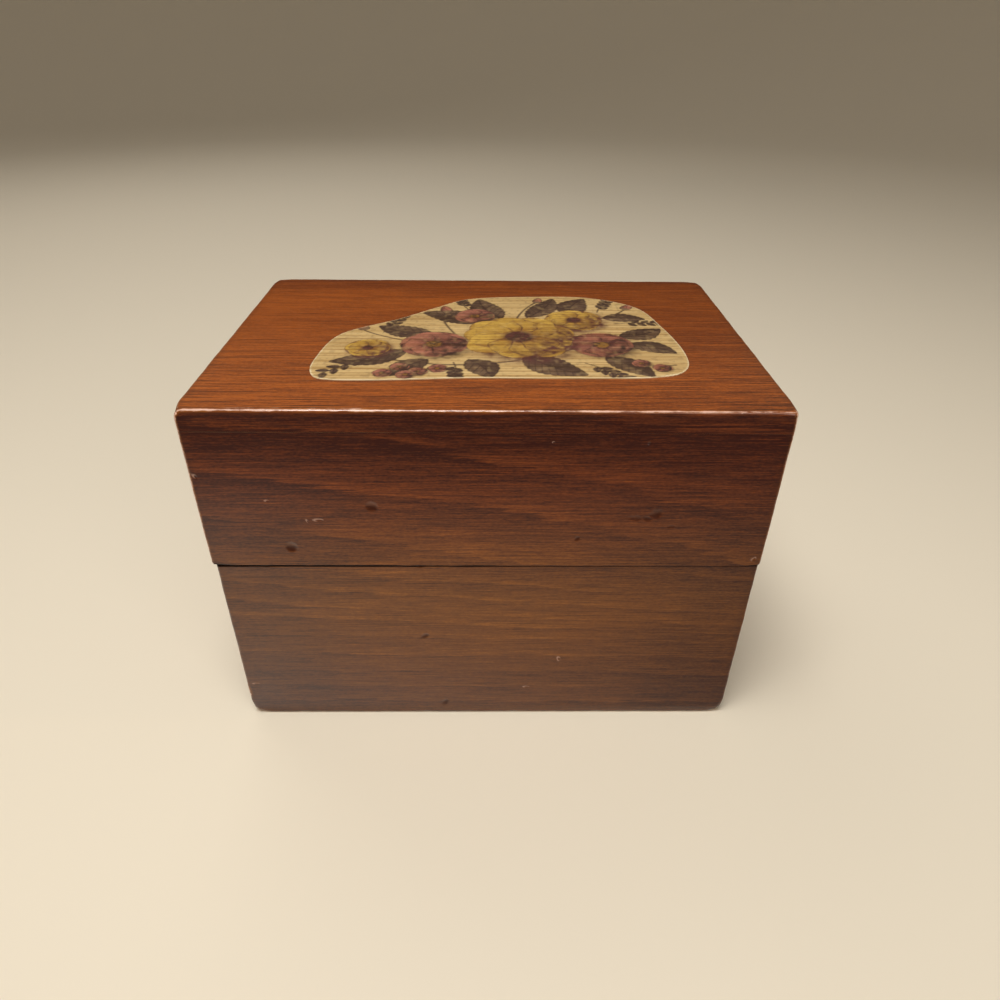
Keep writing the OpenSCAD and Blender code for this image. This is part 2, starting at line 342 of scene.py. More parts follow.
def wear_and_highlight_edge(pair, body, plain, sides, from_middle):
    """How pale an edge is painted, by the distance from the middle of its round: rubbed-off stain, with
    painted highlights on the lid's front edges
    """
    rubbed, reach, second = WEAR_AND_HIGHLIGHT[body], WEAR_AND_HIGHLIGHT_REACH, 0
    # The lid's top front edge: rubbed-off stain and a painted highlight, with a second painted highlight
    # above it at the left
    if body == "lid" and pair == ("closed", "front"):
        x = plain[:, 0] - LID[0][0]
        way = x / LID_WIDTH
        chip = smooth_step(np.abs(x - TOP_CHIP), 1.1 * MM, 0.3 * MM)
        rubbed = WEAR_AND_HIGHLIGHT["top_front"] + 0.12 * smooth_step(way, 0.5, 0.2)
        reach = WEAR_AND_HIGHLIGHT_REACH * (1.15 - 0.4 * way + chip)
        above = depth_from(plain, sides["front"]) > depth_from(plain, sides["closed"])
        risen = from_middle * np.where(above, 1, -1)
        from_middle = np.abs(risen - TOP_FRONT_RISE)
        at_left = smooth_step(x, 5 * MM, 14 * MM) * smooth_step(x, 58 * MM, 38 * MM)
        second = SECOND_HIGHLIGHT * at_left * np.clip(1 - np.abs(risen - SECOND_RISE) / SECOND_HALF, 0, 1)
    # The lid's upright front edges: a painted highlight
    elif body == "lid" and pair[1] == "front":
        lower = smooth_step(LID[1][2] - plain[:, 2], 10 * MM, 20 * MM)
        rubbed = WEAR_AND_HIGHLIGHT["upright_front"] - 0.3 * lower * (pair[0] == "right")
    elif pair == ("left", "front"):
        knock = smooth_step(np.abs(plain[:, 2] - KNOCK_HEIGHT), KNOCK_HALF, 0.3 * KNOCK_HALF)
        rubbed, reach = rubbed + KNOCK_WEAR * knock, reach * (1 + 0.8 * knock)
    return np.maximum(second, rubbed * np.clip(1 - from_middle / reach, 0, 1))


def wear_and_highlight_corners(body, plain, sides):
    """How pale the corners of the lid's top or the base's foot are painted: rubbed-off stain, and at the
    lid's front corners the painted highlight of the front edges
    """
    rubbed_off = np.zeros(len(plain))
    for corner in WORN_CORNERS:
        if "closed" in corner:
            far = np.linalg.norm([depth_from(plain, sides[side]) for side in corner], axis=0)
            rubbed, spread = WEAR_AND_HIGHLIGHT[body], 1.6 * MM
            # At the lid's front corners the painted highlight of the front edges wraps round
            if body == "lid" and "front" in corner:
                rubbed, spread = WEAR_AND_HIGHLIGHT["upright_front"], 1.0 * MM
            rubbed_off = np.maximum(rubbed_off, rubbed * smooth_step(far, spread, 0.3 * spread))
    return rubbed_off


def sand(places, body):
    """Rounds a body's edges unevenly, and returns how pale each place is painted along the edges, as rubbed
    stain and as painted highlights on the lid's front edges, and how much of it is painted seam shade
    """
    unevenness = bpy.context.scene.card_box_wood.unevenness
    is_lid = body == "lid"
    sides = faces_of(LID if is_lid else BASE, is_lid)
    plain = places.copy()
    bent, seam = np.zeros(len(places)), np.zeros(len(places))
    way = (plain[:, 0] - LID[0][0]) / LID_WIDTH
    for number, (pair, plain_round) in enumerate(edges_of(body)):
        along = 3 - sides[pair[0]][0] - sides[pair[1]][0]
        radius = plain_round * (1 + unevenness * wander(plain[:, along], number + (20 if is_lid else 60)))
        if pair == ("rim", "front"):
            radius = radius * (RIM_LEFT + (RIM_RIGHT - RIM_LEFT) * way)
        for corner, worn in WORN_CORNERS.items():
            if set(pair) <= set(corner):
                (third,) = set(corner) - set(pair)
                near = smooth_step(depth_from(plain, sides[third]), WORN_REACH, 0)
                radius = radius + near * np.maximum(worn[0 if is_lid else 1] - radius, 0)
        rounded = round_edge(places, sides[pair[0]], sides[pair[1]], radius)
        # The rims are painted nearly black beside the gap between lid and base, as painted shade in the seam,
        # fading towards the right
        if "rim" in pair:
            seam_shade = 0.97 - 0.6 * smooth_step(way, 0.4, 0.8)
            seam = np.maximum(seam, smooth_step(rounded, 0, 0.3) * seam_shade)
        else:
            beyond = np.maximum(depth_from(plain, sides[pair[0]]), depth_from(plain, sides[pair[1]]))
            beyond = beyond - radius * (1 - math.pi / 4)
            on_round = radius * np.arccos(np.clip(rounded, 0, 1)) / 2
            from_middle = np.where(rounded > 0, on_round, beyond)
            bent = np.maximum(bent, wear_and_highlight_edge(pair, body, plain, sides, from_middle))
    if is_lid:
        roll = CORNER_ROLL * smooth_step(depth_from(plain, sides["front"]), WORN_REACH, 0)
        round_edge(places, sides["closed"], sides["left"], roll)
    return np.maximum(bent, wear_and_highlight_corners(body, plain, sides)), seam


# How deep the broad faces dip, and how far in from the edges they start to
DIP, DIP_START = 0.07 * MM, 6 * MM


def uneven_face(places, plain, block, seed):
    """Lets the broad faces dip a little, as a sanded board does"""
    # The dips fade out at the edges, so that neighbouring boards still meet
    inside = np.abs(np.concatenate([plain - block[0], block[1] - plain], axis=1))
    fade = smooth_step(np.sort(inside, axis=1)[:, 1], 0, DIP_START)
    sides = faces_of(block, closed_up=False)
    for name in ("left", "right", "front", "back"):
        axis, at, inward = sides[name]
        on_face = np.abs(plain[:, axis] - at) < TINY
        wave = cloud(plain, (26 * MM, 26 * MM, 13 * MM), seed + axis)
        places[on_face, axis] += inward * DIP * (wave * fade)[on_face]


# Marks on the front, in millimetres and degrees: from the lid's left edge, down from its top, half width,
# half height, tilt and depth
ROUND_DENTS = (
    (22.1, 39.8, 1.6, 1.7, 0, 0.30),
    (44.1, 26.9, 1.6, 1.5, 0, 0.24),
)
ROUGH_DENTS = (
    (116.6, 29.2, 1.9, 1.5, 25, 0.24),
    (114.6, 30.4, 1.5, 0.8, -10, 0.16),
    (111.6, 30.4, 1.8, 1.0, 0, 0.14),
    (121.0, 33.0, 1.3, 0.6, 10, 0.12),
    (97.0, 36.9, 0.8, 0.7, 40, 0.22),
    (112.3, 8.5, 0.45, 0.45, 0, 0.18),
    (55.6, 72.1, 1.5, 0.9, 30, 0.22),
    (60.5, 100.0, 1.5, 1.1, 50, 0.26),
    (55.4, 46.5, 1.0, 0.5, 0, 0.25),
)
PALE_CHIPS = (
    (89.3, 8.3, 0.45, 0.35, 0, 0.08),
    (27.3, 31.6, 0.35, 0.75, 25, 0.08),
    (18.0, 25.3, 0.7, 0.35, 0, 0.05),
    (30.0, 31.2, 1.4, 0.5, 0, 0.04),
    (144.8, 43.5, 0.6, 0.9, -30, 0.12),
    (94.4, 81.3, 0.6, 0.9, 20, 0.07),
    (85.1, 93.3, 1.1, 0.45, 0, 0.07),
    (1.6, 18.2, 0.6, 0.9, 30, 0.10),
    (3.6, 91.8, 1.3, 0.4, 0, 0.06),
)
# Depth from which a dent is painted dark in full, with stain and painted shade
FULLY_DARKENED = 0.2 * MM


def front_marks(block):
    """The marks that lie on one body's front, each with its kind, and with its lengths in metres"""
    for kind, marks in (("round", ROUND_DENTS), ("rough", ROUGH_DENTS), ("chip", PALE_CHIPS)):
        for x, down, half_w, half_h, tilt, depth in marks:
            if block[0][2] - half_h * MM < LID[1][2] - down * MM < block[1][2] + half_h * MM:
                yield kind, (x * MM, down * MM, half_w * MM, half_h * MM, math.radians(tilt), depth * MM)


def fine_near_marks(block):
    """Where the grid closes up for the marks, across and upright"""
    across, upright = [], []
    for kind, (x, down, half_w, half_h, *_) in front_marks(block):
        cells = 6 if kind == "round" else 4
        across.append((LID[0][0] + x, half_w, half_w / cells))
        upright.append((LID[1][2] - down, half_h, half_h / cells))
    return across, upright


def press_marks(places, plain, block):
    """Presses the marks into a front board, and returns where they are painted dark, with stain and painted
    shade, and where pale, with pale chips and a painted reflection
    """
    dark, pale = np.zeros(len(places)), np.zeros(len(places))
    on_front = np.abs(plain[:, 1] - block[0][1]) < TINY
    for kind, (x, down, half_w, half_h, tilt, depth) in front_marks(block):
        dx = plain[:, 0] - LID[0][0] - x
        dz = plain[:, 2] - LID[1][2] + down
        u = (dx * math.cos(tilt) + dz * math.sin(tilt)) / half_w
        v = (dz * math.cos(tilt) - dx * math.sin(tilt)) / half_h
        far = np.hypot(u, v)
        if kind != "round":
            far = far * (0.72 + 0.6 * cloud(plain, (0.8 * MM, 1, 0.8 * MM), 5))
        bowl = np.clip(1 - far**2, 0, 1)
        places[on_front, 1] += depth * bowl[on_front]
        if kind == "chip":
            crescent = smooth_step(far, 1.1, 0.7) * smooth_step(np.hypot(u - 0.3, v + 0.35), 0.5, 0.9)
            pale = np.maximum(pale, 0.42 * crescent * on_front)
        else:
            # The lower half of a dent is painted dark, partly stain gathered there and partly painted shade,
            # and its upper half paler, as a painted reflection
            inside = smooth_step(far, 1.1, 0.6) * on_front
            lower = smooth_step(v, 0.6, -0.3)
            strength = min(1, depth / FULLY_DARKENED)
            all_over = 0.2 if kind == "round" else 0.5
            dark = np.maximum(dark, inside * (all_over + (1 - all_over) * lower) * strength)
            pale = np.maximum(pale, inside * (1 - lower) * 0.03 * strength)
    places[on_front, 1] = np.maximum(places[on_front, 1], block[0][1])
    return dark, pale


# Growth lines of the front, in millimetres below the lid's top at its left end, middle and right end
FRONT_GROWTH = (
    (-12, -3, 6), (2, 14, 33), (17, 27.7, 47), (30, 43, 51), (44.5, 53.5, 58), (51, 59, 64),
    (58.8, 64.3, 68.5), (64.4, 68, 72), (71.9, 73.4, 76), (79, 80, 82), (86, 86.6, 88), (92.5, 93, 94.5),
    (99, 99.5, 100.5), (106, 106.5, 107),
)


def growth(share, across, lines):
    """Counts the growth lines passed at a place, from its share of the way along the board"""
    depths = []
    for left, middle, right in lines:
        bow = 2 * (left + right - 2 * middle)
        depths.append((left + share * (4 * middle - 3 * left - right) + share**2 * bow) * MM)
    passed = np.zeros(len(across))
    for upper, lower in zip(depths, depths[1:]):
        passed += np.clip((across - upper) / (lower - upper), 0, 1)
    return passed


def grown_lines(first, last, seed, gap=(3.5, 9), slant=9):
    """Growth lines at uneven distances, all slanting about alike, in millimetres"""
    rng = np.random.default_rng(seed)
    lines = []
    at = first - slant
    tilt = rng.uniform(0.4, 1) * slant
    while at < last + slant:
        at += rng.uniform(*gap)
        lines.append((at - tilt / 2, at + rng.uniform(-1.5, 1.5), at + tilt / 2))
    return lines


def front_tone(x, down):
    """Lightness of the front, which is darker along its top, its ends and its foot"""
    stops = (0, 4, 10, 20, 36, 50, 62, 80, 104)
    tone = np.interp(down / MM, stops, (0.03, 0.12, 0.13, 0.30, 0.41, 0.42, 0.50, 0.43, 0.27))
    ends = 0.17 * smooth_step(x / MM, 50, 0) + 0.19 * smooth_step(x / MM, 90, 147)
    return tone - ends * smooth_step(down / MM, 8, 34)


def top_tone(x, back):
    """Lightness of the top, which is lighter at its left and darkens towards the back"""
    tone = np.interp(x / MM, (0, 60, 147), (0.87, 0.80, 0.67))
    middle = smooth_step(back / MM, 20, 36) * smooth_step(back / MM, 76, 60)
    return tone - 0.08 * middle - 0.24 * smooth_step(back / MM, 80, 102)


def liveliness(x, back, down):
    """How strongly the grain shows, which is most along the front of the top and least low on the base"""
    upright = np.interp(down / MM, (0, 20, 44, 60, 104), (1.05, 1.1, 1.0, 0.85, 0.75))
    on_top = np.interp(back / MM, (6, 26, 60), (1.75, 1.3, 0.95))
    return np.where(down < TINY, on_top, upright * (1 - 0.13 * smooth_step(x / MM, 60, 120)))


def ruddiness(down):
    """How red the stain is, 1 at the top, falling to 0 on the base"""
    return smooth_step(down / MM, 58, 16)


# How far from an edge the stain that has pooled there fades to about a third
POOL_REACH = 2.2 * MM


def edge_pool(plain, block, body):
    """How near a place is to an edge of its body's outside, 1 on the edge, with the rim left out"""
    sides = faces_of(block, body == "lid")
    depths = np.stack([depth_from(plain, side) for name, side in sides.items() if name != "rim"], axis=1)
    return np.exp(-np.sort(depths, axis=1)[:, 1] / POOL_REACH)


# Grid steps of a board along its grain and across, and near a body's edges within a reach
STEP_ALONG, STEP_ACROSS = 1.4 * MM, 1.0 * MM
EDGE_STEP, EDGE_REACH = 0.16 * MM, 1.0 * MM
# Seeds of the walls and of the top board, and how far apart two seeds lie in the log, in millimetres
WALL_SEED, TOP_SEED = 3, 8
SEED_SHIFT = 37.0


def make_board(node, body, blocks, cuts, lies_along, seed, marked=False):
    """Builds one board from its blocks: sanded, marked and painted for the wood material"""
    block = LID if body == "lid" else BASE
    steps = [STEP_ALONG if axis == lies_along else STEP_ACROSS for axis in range(3)]
    fine = [[(float(corner[axis]), EDGE_REACH, EDGE_STEP) for corner in block] for axis in range(3)]
    if marked:
        across, upright = fine_near_marks(block)
        fine[0] += across
        fine[2] += upright
    plain, faces, facing = gridded_solid(blocks, cuts, steps, fine)
    places = plain.copy()
    bent, seam = sand(places, body)
    uneven_face(places, plain, block, seed)
    dark, pale = press_marks(places, plain, block) if marked else np.zeros((2, len(places)))
    piece = mesh_piece(node + "_wood", places, faces)
    paint_grain(piece, plain, faces, facing, block, body, lies_along, seed, marked)
    paint(piece, "bent", bent)
    paint(piece, "seam", seam)
    paint(piece, "pool", edge_pool(plain, block, body))
    # dark: stain and painted shade in the dents; pale: pale chips, and a painted reflection in the dents'
    # upper half
    paint(piece, "dark", dark)
    paint(piece, "pale", pale)
    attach(piece, body)
    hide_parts(node)
    return piece


def paint_grain(piece, plain, faces, facing, block, body, lies_along, seed, is_front):
    """Paints the grain's direction, growth lines, tone, end grain and bare inner faces"""
    sides = faces_of(block, body == "lid")
    middle = plain[faces].mean(axis=1)

    def lies_on(side):
        axis, at, inward = side
        return (np.abs(middle[:, axis] - at) < TINY) & (facing[:, axis] * inward < 0)

    outside = np.any([lies_on(side) for side in sides.values()], axis=0)
    # The rebate and the underside of the base's walls are bare, but the lid's sawn rim isn't
    under = (facing[:, 2] < 0) & (middle[:, 2] < LID[0][2] - 20 * MM)
    paint(piece, "bare", ~outside | under, domain="FACE")
    paint(piece, "sawn", lies_on(sides["rim"]), domain="FACE")
    paint(piece, "end", np.abs(facing[:, lies_along]), domain="FACE")
    is_top = piece.name.startswith("lid_top")
    through = 2 if is_top else 1 - lies_along
    across = 3 - lies_along - through
    grain = plain[:, [lies_along, across, through]] / MM
    paint(piece, "grain", grain + seed * SEED_SHIFT, kind="FLOAT_VECTOR")
    x, back, down = plain[:, 0] - LID[0][0], plain[:, 1] - LID[0][1], LID[1][2] - plain[:, 2]
    share = (plain[:, lies_along] - LID[0][lies_along]) / (LID[1][lies_along] - LID[0][lies_along])
    blotch = cloud(grain, (45, 9, 9), seed) - 0.5
    lines = grown_lines(0, 105, seed)
    if is_front:
        passed = growth(share, down + 0.25 * back, FRONT_GROWTH)
        tone = front_tone(x, down) + 0.12 * blotch
    elif is_top:
        passed = growth(share, down, FRONT_GROWTH) + growth(share, back, lines)
        passed -= growth(share, 0 * back, lines)
        on_side = smooth_step(down, 0.1 * MM, 1.4 * MM)
        tone = on_side * front_tone(x, down) + (1 - on_side) * top_tone(x, back) + 0.22 * blotch
    else:
        passed = growth(share, down + 0.25 * (plain[:, through] - LID[0][through]), lines)
        tone = front_tone((0.3 + 0.4 * share) * LID_WIDTH, down) + 0.3 * blotch
    paint(piece, "growth", passed)
    paint(piece, "tone", tone)
    paint(piece, "lively", liveliness(x, back, down))
    paint(piece, "ruddy", ruddiness(down))


class NodeBench:
    """Adds nodes to a material: a socket among the values is linked, None is skipped, the rest are set"""

    def __init__(self, name):
        self.material = bpy.data.materials.new(name)
        self.material.use_nodes = True
        self.tree = self.material.node_tree
        self.tree.nodes.clear()

    def put(self, kind, *values, **settings):
        made = self.tree.nodes.new("ShaderNode" + kind)
        for key, value in settings.items():
            setattr(made, key, value)
        for socket, value in zip([s for s in made.inputs if s.enabled], values):
            if isinstance(value, bpy.types.NodeSocket):
                self.tree.links.new(value, socket)
            elif value is not None:
                socket.default_value = value
        return next(s for s in made.outputs if s.enabled)

    def read(self, name, output="Fac"):
        made = self.tree.nodes.new("ShaderNodeAttribute")
        made.attribute_name = name
        return made.outputs[output]

    def own_place(self):
        return self.tree.nodes.new("ShaderNodeTexCoord").outputs["Object"]

    def sum(self, *terms):
        total = terms[0]
        for term in terms[1:]:
            total = self.put("Math", total, term, operation="ADD")
        return total

    def times(self, a, b):
        return self.put("Math", a, b, operation="MULTIPLY")

    def share(self, value, low, high, to_low=0.0, to_high=1.0):
        """Maps a value from low..high to 0..1, or to the given ends, and holds it there"""
        return self.put("MapRange", value, low, high, to_low, to_high, clamp=True)

    def stretched(self, place, scale):
        return self.put("VectorMath", place, scale, operation="MULTIPLY")

    def noise(self, place, scale, detail=2.0, roughness=0.5):
        return self.put("TexNoise", place, scale, detail, roughness)

    def streaks(self, place, length, width, detail=1.0, roughness=0.5):
        """Noise drawn out along the grain, with streaks of about this length and width in millimetres"""
        return self.noise(self.stretched(place, (1 / length, 1 / width, 1 / width)), 1.0, detail, roughness)

    def larger(self, a, b):
        return self.put("Math", a, b, operation="MAXIMUM")

    def bump(self, strength, depth, height):
        """A bent normal, from a height that stands for a depth in metres"""
        return self.put("Bump", strength, depth, None, height)

    def mix(self, share, a, b, blend="MIX"):
        a, b = [c if isinstance(c, bpy.types.NodeSocket) else (*c, 1.0) for c in (a, b)]
        return self.put("Mix", share, a, b, data_type="RGBA", blend_type=blend, clamp_factor=True)

    def finish(self, **sockets):
        """Ends in a Principled shader, with its sockets named in words joined by underscores"""
        shader = self.tree.nodes.new("ShaderNodeBsdfPrincipled")
        for key, value in sockets.items():
            socket = shader.inputs[key.replace("_", " ")]
            if isinstance(value, bpy.types.NodeSocket):
                self.tree.links.new(value, socket)
            elif socket.type == "RGBA":
                socket.default_value = (*value, 1.0)
            else:
                socket.default_value = value
        output = self.tree.nodes.new("ShaderNodeOutputMaterial")
        self.tree.links.new(shader.outputs["BSDF"], output.inputs["Surface"])
        return self.material


def fibre_lines(bench, place):
    """Fine dark pores that run with the grain, 1 in a pore"""
    long_pores = bench.share(bench.streaks(place, 22, 0.34), 0.54, 0.66)
    short_pores = bench.share(bench.streaks(place, 7, 0.24), 0.58, 0.75, 0.0, 0.7)
    return bench.larger(long_pores, short_pores)


def growth_ridges(bench, place, tone):
    """Growth lines, each light above and dark below, strong in places, that feather out along the fibres"""
    wobble = bench.noise(bench.stretched(place, (0.02, 0.25, 0.25)), 1.0, 2.0)
    feather = bench.streaks(place, 16, 0.8)
    passed = bench.sum(
        bench.read("growth"),
        bench.share(wobble, 0.0, 1.0, -0.28, 0.28),
        bench.share(feather, 0.2, 0.8, -0.13, 0.13),
    )
    band = bench.put("Math", passed, operation="FRACT")
    light = bench.times(bench.put("Math", band, 3.5, operation="POWER"), bench.share(band, 1.0, 0.95))
    ridge = bench.sum(light, bench.share(band, 0.25, 0.0, 0.0, -0.35))
    patchy = bench.share(bench.streaks(place, 28, 6), 0.38, 0.62, 0.35, 1.0)
    return bench.times(ridge, bench.times(patchy, bench.share(tone, 0.75, 0.5, 0.3, 1.0)))


def lightness(bench, place, broad, fine):
    """How light the stain is: the tone painted on a board, with the figure of its grain"""
    tone = bench.read("tone")
    figure = bench.sum(
        bench.share(broad, 0.25, 0.75, -0.05, 0.05),
        bench.share(bench.streaks(place, 20, 0.9), 0.25, 0.75, -0.08, 0.06),
        bench.share(fine, 0.25, 0.75, -0.24, 0.11),
        bench.share(bench.streaks(place, 3.0, 0.24), 0.25, 0.75, -0.12, 0.12),
        bench.share(bench.streaks(place, 1.0, 0.36), 0.25, 0.75, -0.12, 0.12),
        bench.times(growth_ridges(bench, place, tone), 0.32),
        0.02,
    )
    return bench.sum(tone, bench.times(figure, bench.read("lively")))


# What the ruddy stain of the lid is multiplied by, the painted shade in the seam between lid and base, and
# the stain on a sawn rim
RUDDY, SEAM_PAINTED_SHADE, SAWN_STAIN = (1.0, 0.68, 0.75), (0.012, 0.003, 0.001), (0.02, 0.005, 0.002)


def stain_colour(bench, light, pores):
    """The stain by its lightness, darker in the pores, edges and end grain, darker in the dents with stain
    and painted shade, and darkest in the seam with painted shade
    """
    wood = bpy.context.scene.card_box_wood
    stain = bench.mix(bench.share(light, 0.0, 0.5), wood.dark_stain, wood.stain)
    stain = bench.mix(bench.share(light, 0.5, 1.0), stain, wood.light_stain)
    stain = bench.mix(bench.read("ruddy"), stain, RUDDY, "MULTIPLY")
    for soaked in (
        bench.times(pores, 0.5),
        bench.share(bench.read("pool"), 0.3, 1.0, 0.0, 0.4),
        bench.times(bench.read("end"), 0.45),
        # The dents: stain gathered in them, and painted shade in their lower half
        bench.times(bench.read("dark"), 0.85),
    ):
        stain = bench.mix(soaked, stain, wood.dark_stain)
    # Painted shade in the seam between lid and base
    stain = bench.mix(bench.read("seam"), stain, SEAM_PAINTED_SHADE)
    return bench.mix(bench.times(bench.read("sawn"), 0.9), stain, SAWN_STAIN)


def wear_and_highlight_colour(bench, place, stain):
    """Rubs the edges to a lighter stain, and along a ragged line through to the wood; the same pale colour
    carries the painted highlights along the lid's front edges and the painted reflection in the dents
    """
    wood = bpy.context.scene.card_box_wood
    bent = bench.read("bent")
    patches = bench.noise(place, 0.16, 2.0, 0.6)
    ragged = bench.noise(bench.stretched(place, (0.5, 1.2, 1.2)), 1.0, 3.0, 0.6)
    rubbed = bench.sum(
        bent, bench.share(ragged, 0.25, 0.75, -0.25, 0.25), bench.share(patches, 0.3, 0.7, -0.15, 0.15)
    )
    thin = bench.times(bench.share(bent, 0.2, 0.8), bench.share(patches, 0.4, 0.6, 0.1, 0.6))
    worn = bench.times(bench.share(rubbed, 0.68, 1.0), bench.share(bent, 0.0, 0.3, 0.0, 0.95))
    stain = bench.mix(thin, stain, wood.light_stain)
    return bench.mix(bench.larger(worn, bench.read("pale")), stain, wood.worn_wood_and_highlight)


def bare_colour(bench, broad, pores):
    """Unstained wood with its grain"""
    wood = bpy.context.scene.card_box_wood
    colour = bench.mix(bench.share(broad, 0.3, 0.7), wood.bare_dark, wood.bare_wood)
    return bench.mix(bench.times(pores, 0.6), colour, wood.bare_dark)


def wood_material():
    """Red-brown stain that follows the grain, under lacquer, with worn edges and bare wood inside"""
    wood = bpy.context.scene.card_box_wood
    bench = NodeBench("lacquered_boards")
    place = bench.read("grain", "Vector")
    bare = bench.read("bare")
    broad, fine = bench.streaks(place, 40, 2.6), bench.streaks(place, 13, 0.30)
    pores = bench.times(fibre_lines(bench, place), bench.read("lively"))
    stain = stain_colour(bench, lightness(bench, place, broad, fine), pores)
    colour = bench.mix(bare, wear_and_highlight_colour(bench, place, stain), bare_colour(bench, broad, pores))
    speckle = bench.noise(place, 0.9, 3.0, 0.6)
    gloss = bench.sum(
        bench.share(speckle, 0.3, 0.7, 0.36, 0.5), bench.times(pores, 0.1), bench.times(bare, 0.2)
    )
    height = bench.sum(bench.times(pores, -1.0), bench.times(fine, 0.5), bench.times(speckle, 0.2))
    # Little lacquer has run into the seam and the dents
    dull = bench.sum(bench.read("seam"), bench.times(bench.read("dark"), 0.3))
    coat = bench.times(
        bench.share(bare, 0.0, 1.0, wood.lacquer, 0.05), bench.share(dull, 0.05, 0.4, 1.0, 0.1)
    )
    return bench.finish(
        Base_Color=colour, Roughness=gloss, Normal=bench.bump(0.35, 0.03 * MM, height),
        Specular_IOR_Level=0.2, Coat_Weight=coat, Coat_Roughness=wood.lacquer_roughness,
    )


# Thickness of the lip that covers a side board's end, and of a glue line
LIP, GLUE_LINE = 3.0 * MM, 0.05 * MM


def front_or_back_blocks(body, at_front):
    """Blocks of a rebated board: the full width for the lips, and less for the rest"""
    front, left = box_of(body + "_front_board"), box_of(body + "_left_board")
    wall = front[1][1] - front[0][1]
    glue = left[0][1] - front[0][1] - LIP
    inset = np.array([wall + glue, 0, 0])
    lo, hi = box_of(f"{body}_{'front' if at_front else 'back'}_board")
    lip_lo, lip_hi = lo.copy(), hi.copy()
    if at_front:
        lip_hi[1] = lo[1] + LIP
    else:
        lip_lo[1] = hi[1] - LIP
    return [(lip_lo, lip_hi), (lo + inset, hi - inset)]


def panel_cut():
    """The rebate that takes the bottom panel, cut open downwards past the foot"""
    lo, hi = box_of("base_bottom_panel")
    return (lo - [GLUE_LINE, GLUE_LINE, MM], hi + GLUE_LINE)


class CARDBOX_OT_lid_walls(bpy.types.Operator):
    """Build the lid's four walls with their sanded edges, dents and grain"""

    bl_idname = "card_box.lid_walls"
    bl_label = "Lid Walls"

    def execute(self, context):
        dress_walls("lid", [])
        return {"FINISHED"}


class CARDBOX_OT_base_walls(bpy.types.Operator):
    """Build the base's four walls, rebated for the bottom panel"""

    bl_idname = "card_box.base_walls"
    bl_label = "Base Walls"

    def execute(self, context):
        dress_walls("base", [panel_cut()])
        return {"FINISHED"}


def dress_walls(body, cuts):
    """The four walls of the lid or the base, whose grain runs on from one body to the other"""
    wood = shared_material("lacquered_boards", wood_material)
    for at_front in (True, False):
        node = f"{body}_{'front' if at_front else 'back'}_board"
        blocks = front_or_back_blocks(body, at_front)
        piece = make_board(node, body, blocks, cuts, 0, WALL_SEED + (not at_front), marked=at_front)
        piece.data.materials.append(wood)
    for number, side in enumerate(("left", "right")):
        node = f"{body}_{side}_board"
        piece = make_board(node, body, [box_of(node)], cuts, 1, WALL_SEED + 2 + number)
        piece.data.materials.append(wood)


def shared_material(name, maker):
    """A material that several pieces use, made when the first one asks for it"""
    return bpy.data.materials.get(name) or maker()


class CARDBOX_OT_lid_top(bpy.types.Operator):
    """Build the board that lies over the lid's walls"""

    bl_idname = "card_box.lid_top"
    bl_label = "Lid Top"

    def execute(self, context):
        node = "lid_top_board"
        piece = make_board(node, "lid", [box_of(node)], [], 0, TOP_SEED)
        piece.data.materials.append(shared_material("lacquered_boards", wood_material))
        return {"FINISHED"}


def panel_material():
    """Thin bare panel with faint grain"""
    bench = NodeBench("bare_panel")
    place = bench.stretched(bench.own_place(), (1 / MM,) * 3)
    broad = bench.streaks(place, 60, 2.2, 3.0, 0.6)
    pores = fibre_lines(bench, place)
    return bench.finish(
        Base_Color=bare_colour(bench, broad, pores), Roughness=bench.share(broad, 0.3, 0.7, 0.6, 0.75),
        Normal=bench.bump(0.5, 0.05 * MM, bench.times(pores, -1.0)), Specular_IOR_Level=0.3,
    )


class CARDBOX_OT_bottom_panel(bpy.types.Operator):
    """Finish the thin panel that closes the base"""

    bl_idname = "card_box.bottom_panel"
    bl_label = "Bottom Panel"

    def execute(self, context):
        dress_node("base_bottom_panel", panel_material(), 0.3 * MM)
        return {"FINISHED"}


def dress_node(node, material, edge_break):
    """Gives a CAD node its material and a small broken edge"""
    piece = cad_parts[node]
    piece.data.materials.clear()
    piece.data.materials.append(material)
    weld = piece.modifiers.new("weld", "WELD")
    weld.merge_threshold = 0.001 * MM
    bevel = piece.modifiers.new("edge_break", "BEVEL")
    bevel.width = edge_break
    bevel.segments = 2
    bevel.limit_method = "ANGLE"
    bevel.angle_limit = math.radians(40)
    bevel.harden_normals = True


def cut_outline():
    """The print's cut edge in order, read from the top of its CAD node"""
    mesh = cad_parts["lid_print"].data
    top = max(v.co.z for v in mesh.vertices)
    on_top = [v.co for v in mesh.vertices if v.co.z > top - MM / 100]
    rim = np.array(sorted({(round(place.x, 7), round(place.y, 7)) for place in on_top}))
    offset = rim - rim.mean(axis=0)
    return rim[np.argsort(np.arctan2(offset[:, 1], offset[:, 0]))]


def outline_distance(points, outline):
    """For each point its distance from the outline, its nearest place there, and whether it is inside"""
    best = np.full(len(points), np.inf)
    nearest = np.zeros_like(points)
    crossings = np.zeros(len(points), int)
    for a, b in zip(outline, np.roll(outline, -1, axis=0)):
        edge = b - a
        share = np.clip(((points - a) @ edge) / (edge @ edge), 0, 1)
        foot = a + share[:, None] * edge
        far = np.hypot(*(points - foot).T)
        closer = far < best
        best[closer], nearest[closer] = far[closer], foot[closer]
        if a[1] != b[1]:
            spans = (points[:, 1] < a[1]) != (points[:, 1] < b[1])
            at = a[0] + (points[:, 1] - a[1]) * edge[0] / edge[1]
            crossings += spans & (points[:, 0] < at)
    return best, nearest, crossings % 2 == 1


